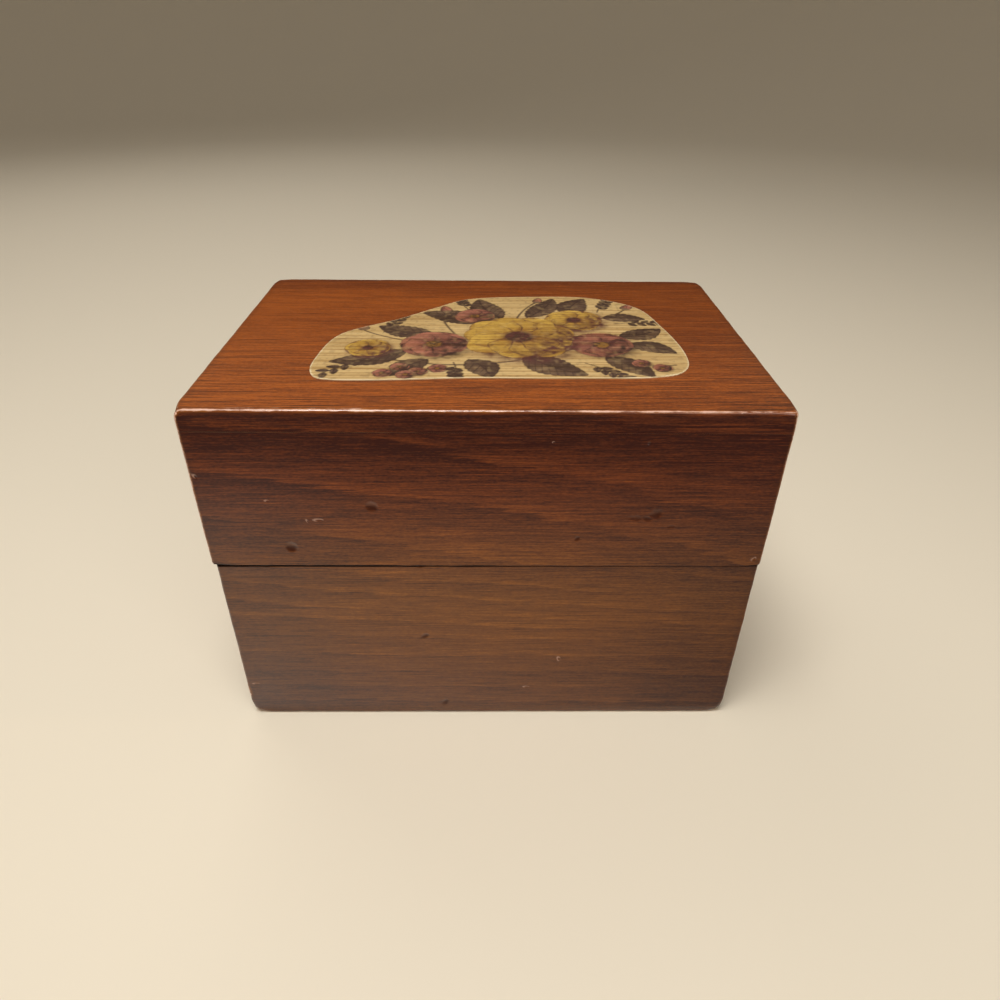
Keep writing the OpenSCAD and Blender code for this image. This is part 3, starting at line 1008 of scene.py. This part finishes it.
class Painting:
    """Colours on the printed sheet, laid over each other with soft edges, in millimetres from its middle"""

    def __init__(self, x, y, ground):
        self.x, self.y = x, y
        self.colour = np.tile(np.asarray(ground, float), (len(x), 1))
        self.places = np.stack([x, y, np.zeros_like(x)], axis=1)
        self.washes = {}

    def lay(self, colour, cover):
        cover = np.clip(cover, 0, 1)[:, None]
        self.colour = self.colour * (1 - cover) + np.asarray(colour)[None, :] * cover

    def wash(self, size, seed):
        """Blots of a size in millimetres, from 0 to 1"""
        if (size, seed) not in self.washes:
            self.washes[size, seed] = cloud(self.places, (size, size, 1), seed)
        return self.washes[size, seed]

    def turned(self, cx, cy, turn):
        """Places along and across a line that starts at a place and is turned by an angle"""
        dx, dy = self.x - cx, self.y - cy
        return dx * math.cos(turn) + dy * math.sin(turn), dy * math.cos(turn) - dx * math.sin(turn)

    def petal(self, cx, cy, turn, length, width, light, dark, line):
        """A round-ended petal with shaded ribs, which grows outwards from the middle of its flower"""
        u, v = self.turned(cx, cy, turn)
        u, v = u / length, v / (width / 2)
        tip = np.clip((u - 0.62) / 0.38, 0, 1)
        frill = 0.96 + 0.05 * np.sin(u * 15 + turn)
        half = np.sqrt(1 - tip**2) * (0.3 + 0.7 * smooth_step(u, 0, 0.6)) * frill
        along = (u > 0.04) & (u < 1)
        inside = smooth_step((np.abs(v) - half) * width / 2, 0.2, -0.2) * along
        self.lay(light, inside)
        self.lay(dark, inside * (0.25 + 0.25 * math.sin(5.3 * turn + cx)))
        shade = 0.9 * smooth_step(u, 0.8, 0.15) + 0.7 * smooth_step(v / np.maximum(half, 0.05), -0.1, 1.0)
        self.lay(dark, inside * shade * (0.2 + 1.4 * self.wash(1.0, 3)))
        ribs = smooth_step(np.cos(v * 8), 0.4, 1.0) * smooth_step(u, 0.2, 0.4) * smooth_step(u, 0.98, 0.7)
        self.lay(line, inside * ribs * 0.5 * self.wash(1.6, 12))
        border = smooth_step(np.abs(np.abs(v) - half) * width / 2, 0.45, 0.12) * along
        self.lay(line, border * (0.1 + 0.9 * self.wash(1.2, 5)))

    def blossom(self, cx, cy, radius, petals, turn, light, dark, line, eye):
        """An open flower with two rows of petals round a dotted eye, shaded on its right and lower side"""
        shadow = np.hypot(self.x - cx - 0.12 * radius, self.y - cy + 0.14 * radius)
        self.lay(line, smooth_step(shadow, radius * 1.25, radius * 0.8) * (0.3 + 0.8 * self.wash(1.5, 7)))
        self.petals(cx, cy, radius, petals, turn, light, dark, line)
        far = np.hypot(self.x - cx, self.y - cy)
        turned_away = ((self.x - cx) * 0.85 - (self.y - cy) * 0.5) / radius
        mottle = 0.25 + 1.2 * self.wash(1.3, 6)
        within = smooth_step(far, radius, radius * 0.93)
        self.lay(line, smooth_step(turned_away, 0.0, 0.8) * within * 0.8 * mottle)
        self.lay(light, smooth_step(turned_away, -0.1, -0.7) * (far < radius * 0.9) * 0.5 * mottle)
        disc = smooth_step(far, radius * 0.27, radius * 0.21)
        dots = smooth_step(self.wash(0.7, 9), 0.42, 0.6)
        self.lay(line, smooth_step(far, radius * 0.36, radius * 0.22) * 0.6)
        self.lay(eye, disc * 0.85)
        self.lay(line, disc * dots * 0.85)

    def petals(self, cx, cy, radius, petals, turn, light, dark, line):
        """Two rows of petals, the outer row first"""
        pace = 2 * math.pi / petals
        for row, reach in ((0.5, 1.0), (0.0, 0.84)):
            for count in range(petals):
                angle = turn + (count + row) * pace + 0.12 * math.sin(5 * count + radius)
                length = radius * reach * (1 + 0.06 * math.sin(3 * count + turn))
                self.petal(cx, cy, angle, length, 1.15 * radius * reach * pace, light, dark, line)

    def leaf(self, base, tip, width, bow, light, line):
        """A pointed leaf with a toothed edge, a midrib and side veins, from its base to its tip"""
        base, tip = np.array(base, float), np.array(tip, float)
        chord = tip - base
        length = math.hypot(*chord)
        way = chord / length
        u = ((self.x - base[0]) * way[0] + (self.y - base[1]) * way[1]) / length
        v = (self.y - base[1]) * way[0] - (self.x - base[0]) * way[1]
        v = v - bow * 4 * u * (1 - u)
        half = width / 2 * np.sin(math.pi * np.clip(u, 0, 1)) ** 0.75 * (1.25 - 0.5 * np.clip(u, 0, 1))
        half = half * (1 + 0.10 * np.abs(np.sin(u * length * 1.6)))
        inside = smooth_step(np.abs(v) - half, 0.2, -0.2) * (u > 0) * (u < 1)
        self.lay(light, inside)
        self.lay(line, inside * (0.15 + 0.6 * self.wash(1.8, 8)))
        in_shade = smooth_step(v, -0.15 * width, 0.1 * width)
        self.lay(line, inside * in_shade * (0.35 + 0.4 * self.wash(1.2, 4)))
        veins = smooth_step(np.cos((u * length - np.abs(v) * 0.9) * 2.6), 0.6, 1.0)
        self.lay(line, inside * veins * 0.6)
        rib = smooth_step(np.abs(v), 0.36, 0.08) * (u > -0.02) * (u < 0.97)
        self.lay(line, rib * 0.9)
        border = smooth_step(np.abs(np.abs(v) - half), 0.45, 0.08) * (u > 0.01) * (u < 0.99)
        self.lay(line, border * (0.3 + 0.7 * self.wash(1.2, 5)))

    def spray(self, base, tip, size, light, line):
        """A fine twig with small leaves to both sides"""
        base, tip = np.array(base, float), np.array(tip, float)
        way = (tip - base) / np.linalg.norm(tip - base)
        side = np.array([-way[1], way[0]])
        self.stem(base, (base + tip) / 2 + side, tip, 0.35, line)
        for number, share in enumerate(np.linspace(0.3, 1, 8)):
            at = base + (tip - base) * share
            out = at + size * (0.7 * way + (0.7 if number % 2 else -0.7) * side)
            self.leaf(at, out, 0.5 * size, 0, light, line)

    def stem(self, start, bend, end, width, line):
        """A curved stem from start to end, pulled towards the bend"""
        start, bend, end = (np.array(p, float) for p in (start, bend, end))
        far = np.full(len(self.x), np.inf)
        length = np.linalg.norm(bend - start) + np.linalg.norm(end - bend)
        for share in np.linspace(0, 1, int(length / (0.4 * width)) + 2):
            at = start * (1 - share) ** 2 + 2 * bend * share * (1 - share) + end * share**2
            far = np.minimum(far, np.hypot(self.x - at[0], self.y - at[1]))
        self.lay(line, smooth_step(far, width, width * 0.4) * 0.8)

    def bud(self, cx, cy, size, turn, light, dark, green, line):
        """A closed bud in its cup"""
        u, v = self.turned(cx, cy, turn)
        u, v = u / size, v / size
        half = 0.52 * np.sqrt(np.clip(1 - u**2, 0, 1)) * (1 - 0.35 * u)
        inside = smooth_step((np.abs(v) - half) * size, 0.2, -0.2) * (np.abs(u) < 1)
        self.lay(light, inside)
        self.lay(dark, inside * smooth_step(v, -0.1, 0.5) * 0.9)
        self.lay(dark, inside * smooth_step(np.abs(v - 0.12 * np.sin(u * 4)), 0.09, 0.02) * 0.7)
        self.lay(green, inside * smooth_step(u, -0.15, -0.5))
        self.lay(line, smooth_step(np.abs(np.abs(v) - half) * size, 0.32, 0.08) * (np.abs(u) < 1) * 0.7)


def paint_garden(art, inks):
    """A bunch of flowers, leaves and buds that fills most of the print"""
    leaf, umber = inks.leaf, inks.umber
    for base, tip, size in (
        ((-34, -16), (-46, -29), 3.6), ((-34, 0), (-30, 13), 3.2), ((-10, 20), (-13, 30), 3.0),
        ((34, 8), (48, 9), 3.2), ((22, -22), (31, -31), 3.4), ((30, 18), (34, 28), 3.0),
        ((-13, -22), (-12, -32), 3.0),
    ):
        art.spray(base, tip, size, leaf, umber)
    for start, bend, end, width in (
        ((-30, -20), (-6, -30), (20, -12), 0.6), ((-8, -12), (-20, 10), (-17, 17), 0.5),
        ((20, 8), (34, 12), (39, 21), 0.5), ((-24, -8), (-38, -2), (-41, 3), 0.45),
        ((24, -14), (38, -26), (46, -23), 0.45), ((4, 8), (6, 20), (12, 28), 0.5),
    ):
        art.stem(start, bend, end, width, umber)
    for base, tip, width, bow in (
        ((-26, -14), (-46, -22), 8.5, 1.6), ((-20, -20), (-29, -31), 7, -1.0), ((-9, -20), (-3, -32), 8, 1.2),
        ((6, -16), (22, -30), 10, -1.8), ((28, -18), (39, -31), 7.5, 1.0), ((36, -8), (48, -15), 7, 1.0),
        ((34, -3), (47, 4), 7.5, -1.2), ((31, 13), (44, 12), 6.5, 0.8), ((21, 15), (27, 31), 9, 1.6),
        ((8, 13), (17, 31), 7.5, -1.2), ((0, 12), (-7, 30), 9, 1.4), ((-7, 8), (-24, 17), 9.5, -1.6),
        ((-20, -1), (-36, 5), 8, 1.4),
    ):
        art.leaf(base, tip, width, bow, leaf, umber)
    for cx, cy, size, turn in (
        (-41, 4, 3.0, 2.3), (-17, 20, 3.2, 1.8), (40, 23, 3.0, 1.0), (12, 29, 2.6, 1.4),
    ):
        art.bud(cx, cy, size, turn, inks.rose, inks.maroon, leaf, umber)
    gold = (inks.lemon, inks.ochre, inks.maroon, umber)
    pink = (inks.rose, inks.maroon, umber, inks.ochre)
    art.blossom(28, -9, 8.6, 5, 1.1, *pink)
    art.blossom(-37, -12, 6.2, 6, 0.5, *gold)
    art.blossom(22, 11, 8.8, 7, 0.2, *gold)
    art.blossom(-19, -9, 9.4, 6, 0.3, *pink)
    art.blossom(-8, 14, 6.0, 5, 0.8, *pink)
    art.blossom(5, -3, 16.4, 9, 0.0, *gold)
    for cx, cy in ((-27, -25), (-22, -28), (-31, -29), (42, -25), (37, -22), (-17, -26), (-25, -30)):
        art.blossom(cx, cy, 2.5, 5, cx, *pink)
    # Dabs of the brush, dark and pale
    art.lay(umber, 0.24 * smooth_step(art.wash(0.9, 21), 0.55, 0.95))
    art.lay(inks.paper, 0.18 * smooth_step(art.wash(1.2, 22), 0.6, 0.95))


def print_material():
    """Printed paper under varnish, with the wood's grain showing through"""
    wood = bpy.context.scene.card_box_wood
    bench = NodeBench("varnished_print")
    place = bench.read("grain", "Vector")
    ink = bench.read("ink", "Color")
    pores = fibre_lines(bench, place)
    broad = bench.share(bench.streaks(place, 70, 1.2, 2.0), 0.42, 0.7, 0.0, 0.65)
    hairs = bench.share(bench.streaks(place, 60, 0.4), 0.46, 0.64, 0.0, 0.7)
    colour = bench.mix(broad, ink, (0.60, 0.50, 0.32), "MULTIPLY")
    colour = bench.mix(hairs, colour, (0.55, 0.43, 0.28), "MULTIPLY")
    colour = bench.mix(bench.times(pores, 0.10), colour, (0.20, 0.11, 0.035))
    fibre = bench.noise(place, 1.6, 3.0, 0.6)
    height = bench.sum(bench.times(pores, -1.0), bench.times(fibre, 0.4))
    return bench.finish(
        Base_Color=colour, Roughness=bench.share(fibre, 0.3, 0.7, 0.38, 0.5),
        Normal=bench.bump(0.3, 0.03 * MM, height), Specular_IOR_Level=0.2,
        Coat_Weight=wood.lacquer * 0.7, Coat_Roughness=0.2,
    )


class CARDBOX_OT_lid_print(bpy.types.Operator):
    """Build the cut-out print with its flowers, glued to the lid"""

    bl_idname = "card_box.lid_print"
    bl_label = "Lid Print"

    def execute(self, context):
        settings = context.scene.card_box_print
        lo, hi = box_of("lid_print")
        places, faces, far = printed_sheet(lo, hi, settings.mesh_step)
        piece = mesh_piece("lid_print_sheet", places, faces, sharp_angle=50)
        middle = (lo + hi) / 2
        art = Painting((places[:, 0] - middle[0]) / MM, (places[:, 1] - middle[1]) / MM, settings.paper)
        art.lay(settings.ochre, 0.10 + 0.25 * (art.wash(14, 1) - 0.5))
        paint_garden(art, settings)
        art.lay(settings.cut_paper, smooth_step(far, settings.cut_border * 1.3, settings.cut_border * 0.7))
        paint(piece, "ink", np.column_stack([art.colour, np.ones(len(places))]), kind="FLOAT_COLOR")
        paint(piece, "grain", places / MM + TOP_SEED * SEED_SHIFT, kind="FLOAT_VECTOR")
        piece.data.materials.append(print_material())
        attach(piece, "lid")
        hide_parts("lid_print")
        return {"FINISHED"}


# The print's edge is pressed down over a width, and its underside is sunk into the top board
PRESSED_WIDTH, PRESSED_DEPTH, SUNK = 0.35 * MM, 0.08 * MM, 0.1 * MM


def printed_sheet(lo, hi, step):
    """Places and faces of the sheet inside its cut outline, and how far each place is from the cut"""
    outline = cut_outline()
    xs = np.linspace(lo[0], hi[0], int((hi[0] - lo[0]) / step) + 1)
    ys = np.linspace(lo[1], hi[1], int((hi[1] - lo[1]) / (1.25 * step)) + 1)
    grid = np.stack(np.meshgrid(xs, ys, indexing="ij"), axis=-1).reshape(-1, 2)
    cells = np.arange(len(grid)).reshape(len(xs), len(ys))
    corners = (cells[:-1, :-1], cells[1:, :-1], cells[1:, 1:], cells[:-1, 1:])
    quads = np.stack(corners, axis=-1).reshape(-1, 4)
    kept = quads[outline_distance(grid[quads].mean(axis=1), outline)[2]]
    used, kept = np.unique(kept, return_inverse=True)
    kept = kept.reshape(-1, 4)
    points = grid[used]
    border = border_loop(kept)
    far, nearest, _ = outline_distance(points, outline)
    points[border] = nearest[border]
    far[border] = 0
    top = np.column_stack([points, hi[2] - PRESSED_DEPTH * smooth_step(far, PRESSED_WIDTH, 0)])
    under = np.column_stack([points[border], np.full(len(border), lo[2] - SUNK)])
    around = len(points) + np.arange(len(border))
    skirt = np.stack([border, around, np.roll(around, -1), np.roll(border, -1)], axis=1)
    faces = kept.tolist() + skirt.tolist() + [around[::-1].tolist()]
    return np.concatenate([top, under]), faces, np.concatenate([far, np.zeros(len(border))])


def border_loop(faces):
    """The corners along the border of a sheet of faces, in order"""
    sides = np.concatenate([faces[:, [i, (i + 1) % 4]] for i in range(4)])
    there = {(int(a), int(b)) for a, b in sides}
    following = {a: b for a, b in there if (b, a) not in there}
    loop = [min(following)]
    while following[loop[-1]] != loop[0]:
        loop.append(following[loop[-1]])
    return np.array(loop)


def brass_material(name, polish):
    """Dulled brass, browner in patches and finely scratched"""
    settings = bpy.context.scene.card_box_brass
    bench = NodeBench(name)
    place = bench.stretched(bench.own_place(), (1 / MM,) * 3)
    patches = bench.noise(place, 0.35, 4.0, 0.65)
    spots = bench.noise(place, 1.7, 3.0, 0.6)
    scratches = bench.noise(bench.stretched(place, (0.4, 6.0, 1.0)), 1.0, 2.0, 0.6)
    dull = bench.sum(
        bench.share(patches, 0.4, 0.65, 0.0, 0.6), bench.share(spots, 0.58, 0.7, 0.0, 0.5), -polish
    )
    return bench.finish(
        Base_Color=bench.mix(dull, settings.brass, settings.tarnish), Metallic=1.0,
        Roughness=bench.sum(
            bench.share(patches, 0.35, 0.65, 0.28, 0.5), bench.share(scratches, 0.4, 0.6, 0.0, 0.1)
        ),
        Normal=bench.bump(0.25, 0.02 * MM, bench.sum(scratches, bench.times(spots, 0.8))),
    )


class CARDBOX_OT_hinges(bpy.types.Operator):
    """Finish the hinge leaves and pins in dulled brass"""

    bl_idname = "card_box.hinges"
    bl_label = "Hinges"

    def execute(self, context):
        edge = context.scene.card_box_brass.edge_break
        brass = brass_material("hinge_brass_dull", 0.1)
        for side, part in product(("left", "right"), ("base_leaf", "lid_leaf", "pin")):
            dress_node(f"{side}_hinge_{part}", brass, edge)
        return {"FINISHED"}


class CARDBOX_OT_nails(bpy.types.Operator):
    """Finish the round-head nails of the hinges"""

    bl_idname = "card_box.nails"
    bl_label = "Hinge Nails"

    def execute(self, context):
        brass = brass_material("nail_brass_dull", 0.2)
        for node in ("base_hinge_nails", "lid_hinge_nails"):
            dress_node(node, brass, 0.05 * MM)
        return {"FINISHED"}


def flat_material(name, colour, roughness):
    bench = NodeBench(name)
    return bench.finish(Base_Color=tuple(colour), Roughness=roughness, Specular_IOR_Level=0.2)


def soft_lamp(name, place, aim, size, power):
    lamp = bpy.data.lights.new(name, "AREA")
    lamp.shape = "SQUARE"
    lamp.size = size
    lamp.energy = power
    holder = bpy.data.objects.new(name, lamp)
    holder.location = place
    holder.rotation_euler = (Vector(aim) - Vector(place)).to_track_quat("-Z", "Y").to_euler()
    bpy.context.scene.collection.objects.link(holder)
    return holder


def swept_floor():
    """Corners and faces of a round floor that sweeps up into a wall, so that no horizon shows"""
    flat, bend, height, below, turns, bend_steps = 1.3, 1.2, 2.6, 0.1 * MM, 64, 12
    profile = [(0.3, -below), (0.8, -below)]
    for angle in np.linspace(0, math.pi / 2, bend_steps + 1):
        profile.append((flat + bend * math.sin(angle), bend * (1 - math.cos(angle)) - below))
    profile.append((flat + bend, height))
    corners = []
    for radius, z in profile:
        for angle in np.linspace(0, 2 * math.pi, turns, endpoint=False):
            corners.append((radius * math.cos(angle), radius * math.sin(angle), z))
    faces = [list(range(turns))]
    for ring in range(len(profile) - 1):
        for turn in range(turns):
            near, far = ring * turns + turn, ring * turns + (turn + 1) % turns
            faces.append([near, near + turns, far + turns, far])
    return np.array(corners), faces


# Dark of the back card, and of the painted shadow on the front card
DARK_CARD_AND_SHADOW = (0.03, 0.028, 0.026)


def painted_floor_reflection_material(floor_colour):
    """The card in front that the lacquer mirrors: painted light, paler than the floor, close to the box, and
    painted shadow farther out and to the right
    """
    # Painted pool of light close to the box
    pale = (0.98, 0.92, 0.80)
    bench = NodeBench("floor_reflection_painted_light_and_shadow")
    place = bench.own_place()
    along_x, along_y = (
        bench.put("VectorMath", place, axis, operation="DOT_PRODUCT") for axis in ((1, 0, 0), (0, 1, 0))
    )
    # Painted shadow farther out in front of the box
    colour = bench.mix(bench.share(along_y, -0.21, -0.10), DARK_CARD_AND_SHADOW, tuple(floor_colour))
    colour = bench.mix(bench.share(along_y, -0.09, -0.055), colour, pale)
    # Painted shadow to the right
    right = bench.times(bench.share(along_x, -0.06, 0.12), bench.share(along_y, -0.14, -0.07, 0.42, 0.9))
    colour = bench.mix(right, colour, DARK_CARD_AND_SHADOW)
    # Painted light to the left, farther out
    left = bench.times(bench.share(along_x, -0.055, -0.11, 0.0, 0.5), bench.share(along_y, -0.21, -0.155))
    return bench.finish(Base_Color=bench.mix(left, colour, pale), Roughness=0.9, Specular_IOR_Level=0.2)


def dark_flag(name, corners, material):
    """A dark card that only the lacquer reflects"""
    card = mesh_piece(name, np.array(corners), [[0, 1, 2, 3]])
    card.data.materials.append(material)
    card.visible_camera = False
    card.visible_diffuse = False
    card.visible_shadow = False
    card.visible_transmission = False


class CARDBOX_OT_stage(bpy.types.Operator):
    """Set up the pale floor, the soft lamps, the dim room and the camera"""

    bl_idname = "card_box.stage"
    bl_label = "Stage"

    def execute(self, context):
        scene, settings = context.scene, context.scene.card_box_stage
        floor = mesh_piece("floor", *swept_floor())
        floor.data.materials.append(flat_material("pale_floor", settings.floor_colour, 0.7))
        # A card on the floor that only the lacquer mirrors, painted with light close to the box and with
        # shadow farther out
        half, near, far, above = 1.2, -0.052, -1.25, 0.5 * MM
        on_floor = [(x, y, above) for x, y in ((-half, far), (half, far), (half, near), (-half, near))]
        dark_flag("front_flag", on_floor, painted_floor_reflection_material(settings.floor_colour))
        half, behind, height = 0.45, 0.9, 0.46
        upright = [(x, behind, z) for x, z in ((-half, 0.0), (half, 0.0), (half, height), (-half, height))]
        dark_flag("back_flag", upright, flat_material("dark_felt", DARK_CARD_AND_SHADOW, 0.9))
        middle = (0.0, 0.0, 0.05)
        soft_lamp("key_lamp", (-0.10, -0.22, 0.78), middle, 0.34, settings.key_power)
        soft_lamp("fill_lamp", (0.42, -0.76, 0.42), middle, 0.50, settings.fill_power)
        back = soft_lamp("back_lamp", (-0.38, 0.62, 0.75), middle, 0.80, settings.back_power)
        # The lacquer on top would mirror this lamp as a haze
        back.visible_glossy = False
        scene.world = room(settings.room_colour)
        scene.view_settings.view_transform = "Standard"
        scene.camera = aimed_camera(settings)
        return {"FINISHED"}


def room(colour):
    world = bpy.data.worlds.new("dim_room")
    world.use_nodes = True
    world.node_tree.nodes["Background"].inputs["Color"].default_value = (*colour, 1.0)
    return world


def aimed_camera(settings):
    camera = bpy.data.cameras.new("camera")
    camera.lens = settings.lens
    holder = bpy.data.objects.new("camera", camera)
    holder.location = settings.camera_place
    holder.rotation_euler = settings.camera_turn
    bpy.context.scene.collection.objects.link(holder)
    return holder


OPERATORS = (
    CARDBOX_OT_lid_walls,
    CARDBOX_OT_lid_top,
    CARDBOX_OT_base_walls,
    CARDBOX_OT_bottom_panel,
    CARDBOX_OT_lid_print,
    CARDBOX_OT_hinges,
    CARDBOX_OT_nails,
    CARDBOX_OT_stage,
)
SETTINGS = {
    "card_box_wood": CardBoxWood,
    "card_box_print": CardBoxPrint,
    "card_box_brass": CardBoxBrass,
    "card_box_stage": CardBoxStage,
}


class CARDBOX_PT_panel(bpy.types.Panel):
    """Settings and steps of the card box"""

    bl_label = "Recipe Card Box"
    bl_idname = "CARDBOX_PT_panel"
    bl_space_type = "VIEW_3D"
    bl_region_type = "UI"
    bl_category = "Card Box"

    def draw(self, context):
        for operator in OPERATORS:
            self.layout.operator(operator.bl_idname)
        for name, group in SETTINGS.items():
            column = self.layout.box().column()
            column.label(text=group.__doc__)
            for setting in group.__annotations__:
                column.prop(getattr(context.scene, name), setting)


def register():
    for made in (*SETTINGS.values(), *OPERATORS, CARDBOX_PT_panel):
        bpy.utils.register_class(made)
    for name, group in SETTINGS.items():
        setattr(bpy.types.Scene, name, PointerProperty(type=group))


def unregister():
    for name in SETTINGS:
        delattr(bpy.types.Scene, name)
    for made in (*SETTINGS.values(), *OPERATORS, CARDBOX_PT_panel):
        bpy.utils.unregister_class(made)


def main():
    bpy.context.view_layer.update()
    register()
    for operator in OPERATORS:
        group, step = operator.bl_idname.split(".")
        getattr(getattr(bpy.ops, group), step)()


if __name__ == "__main__":
    main()
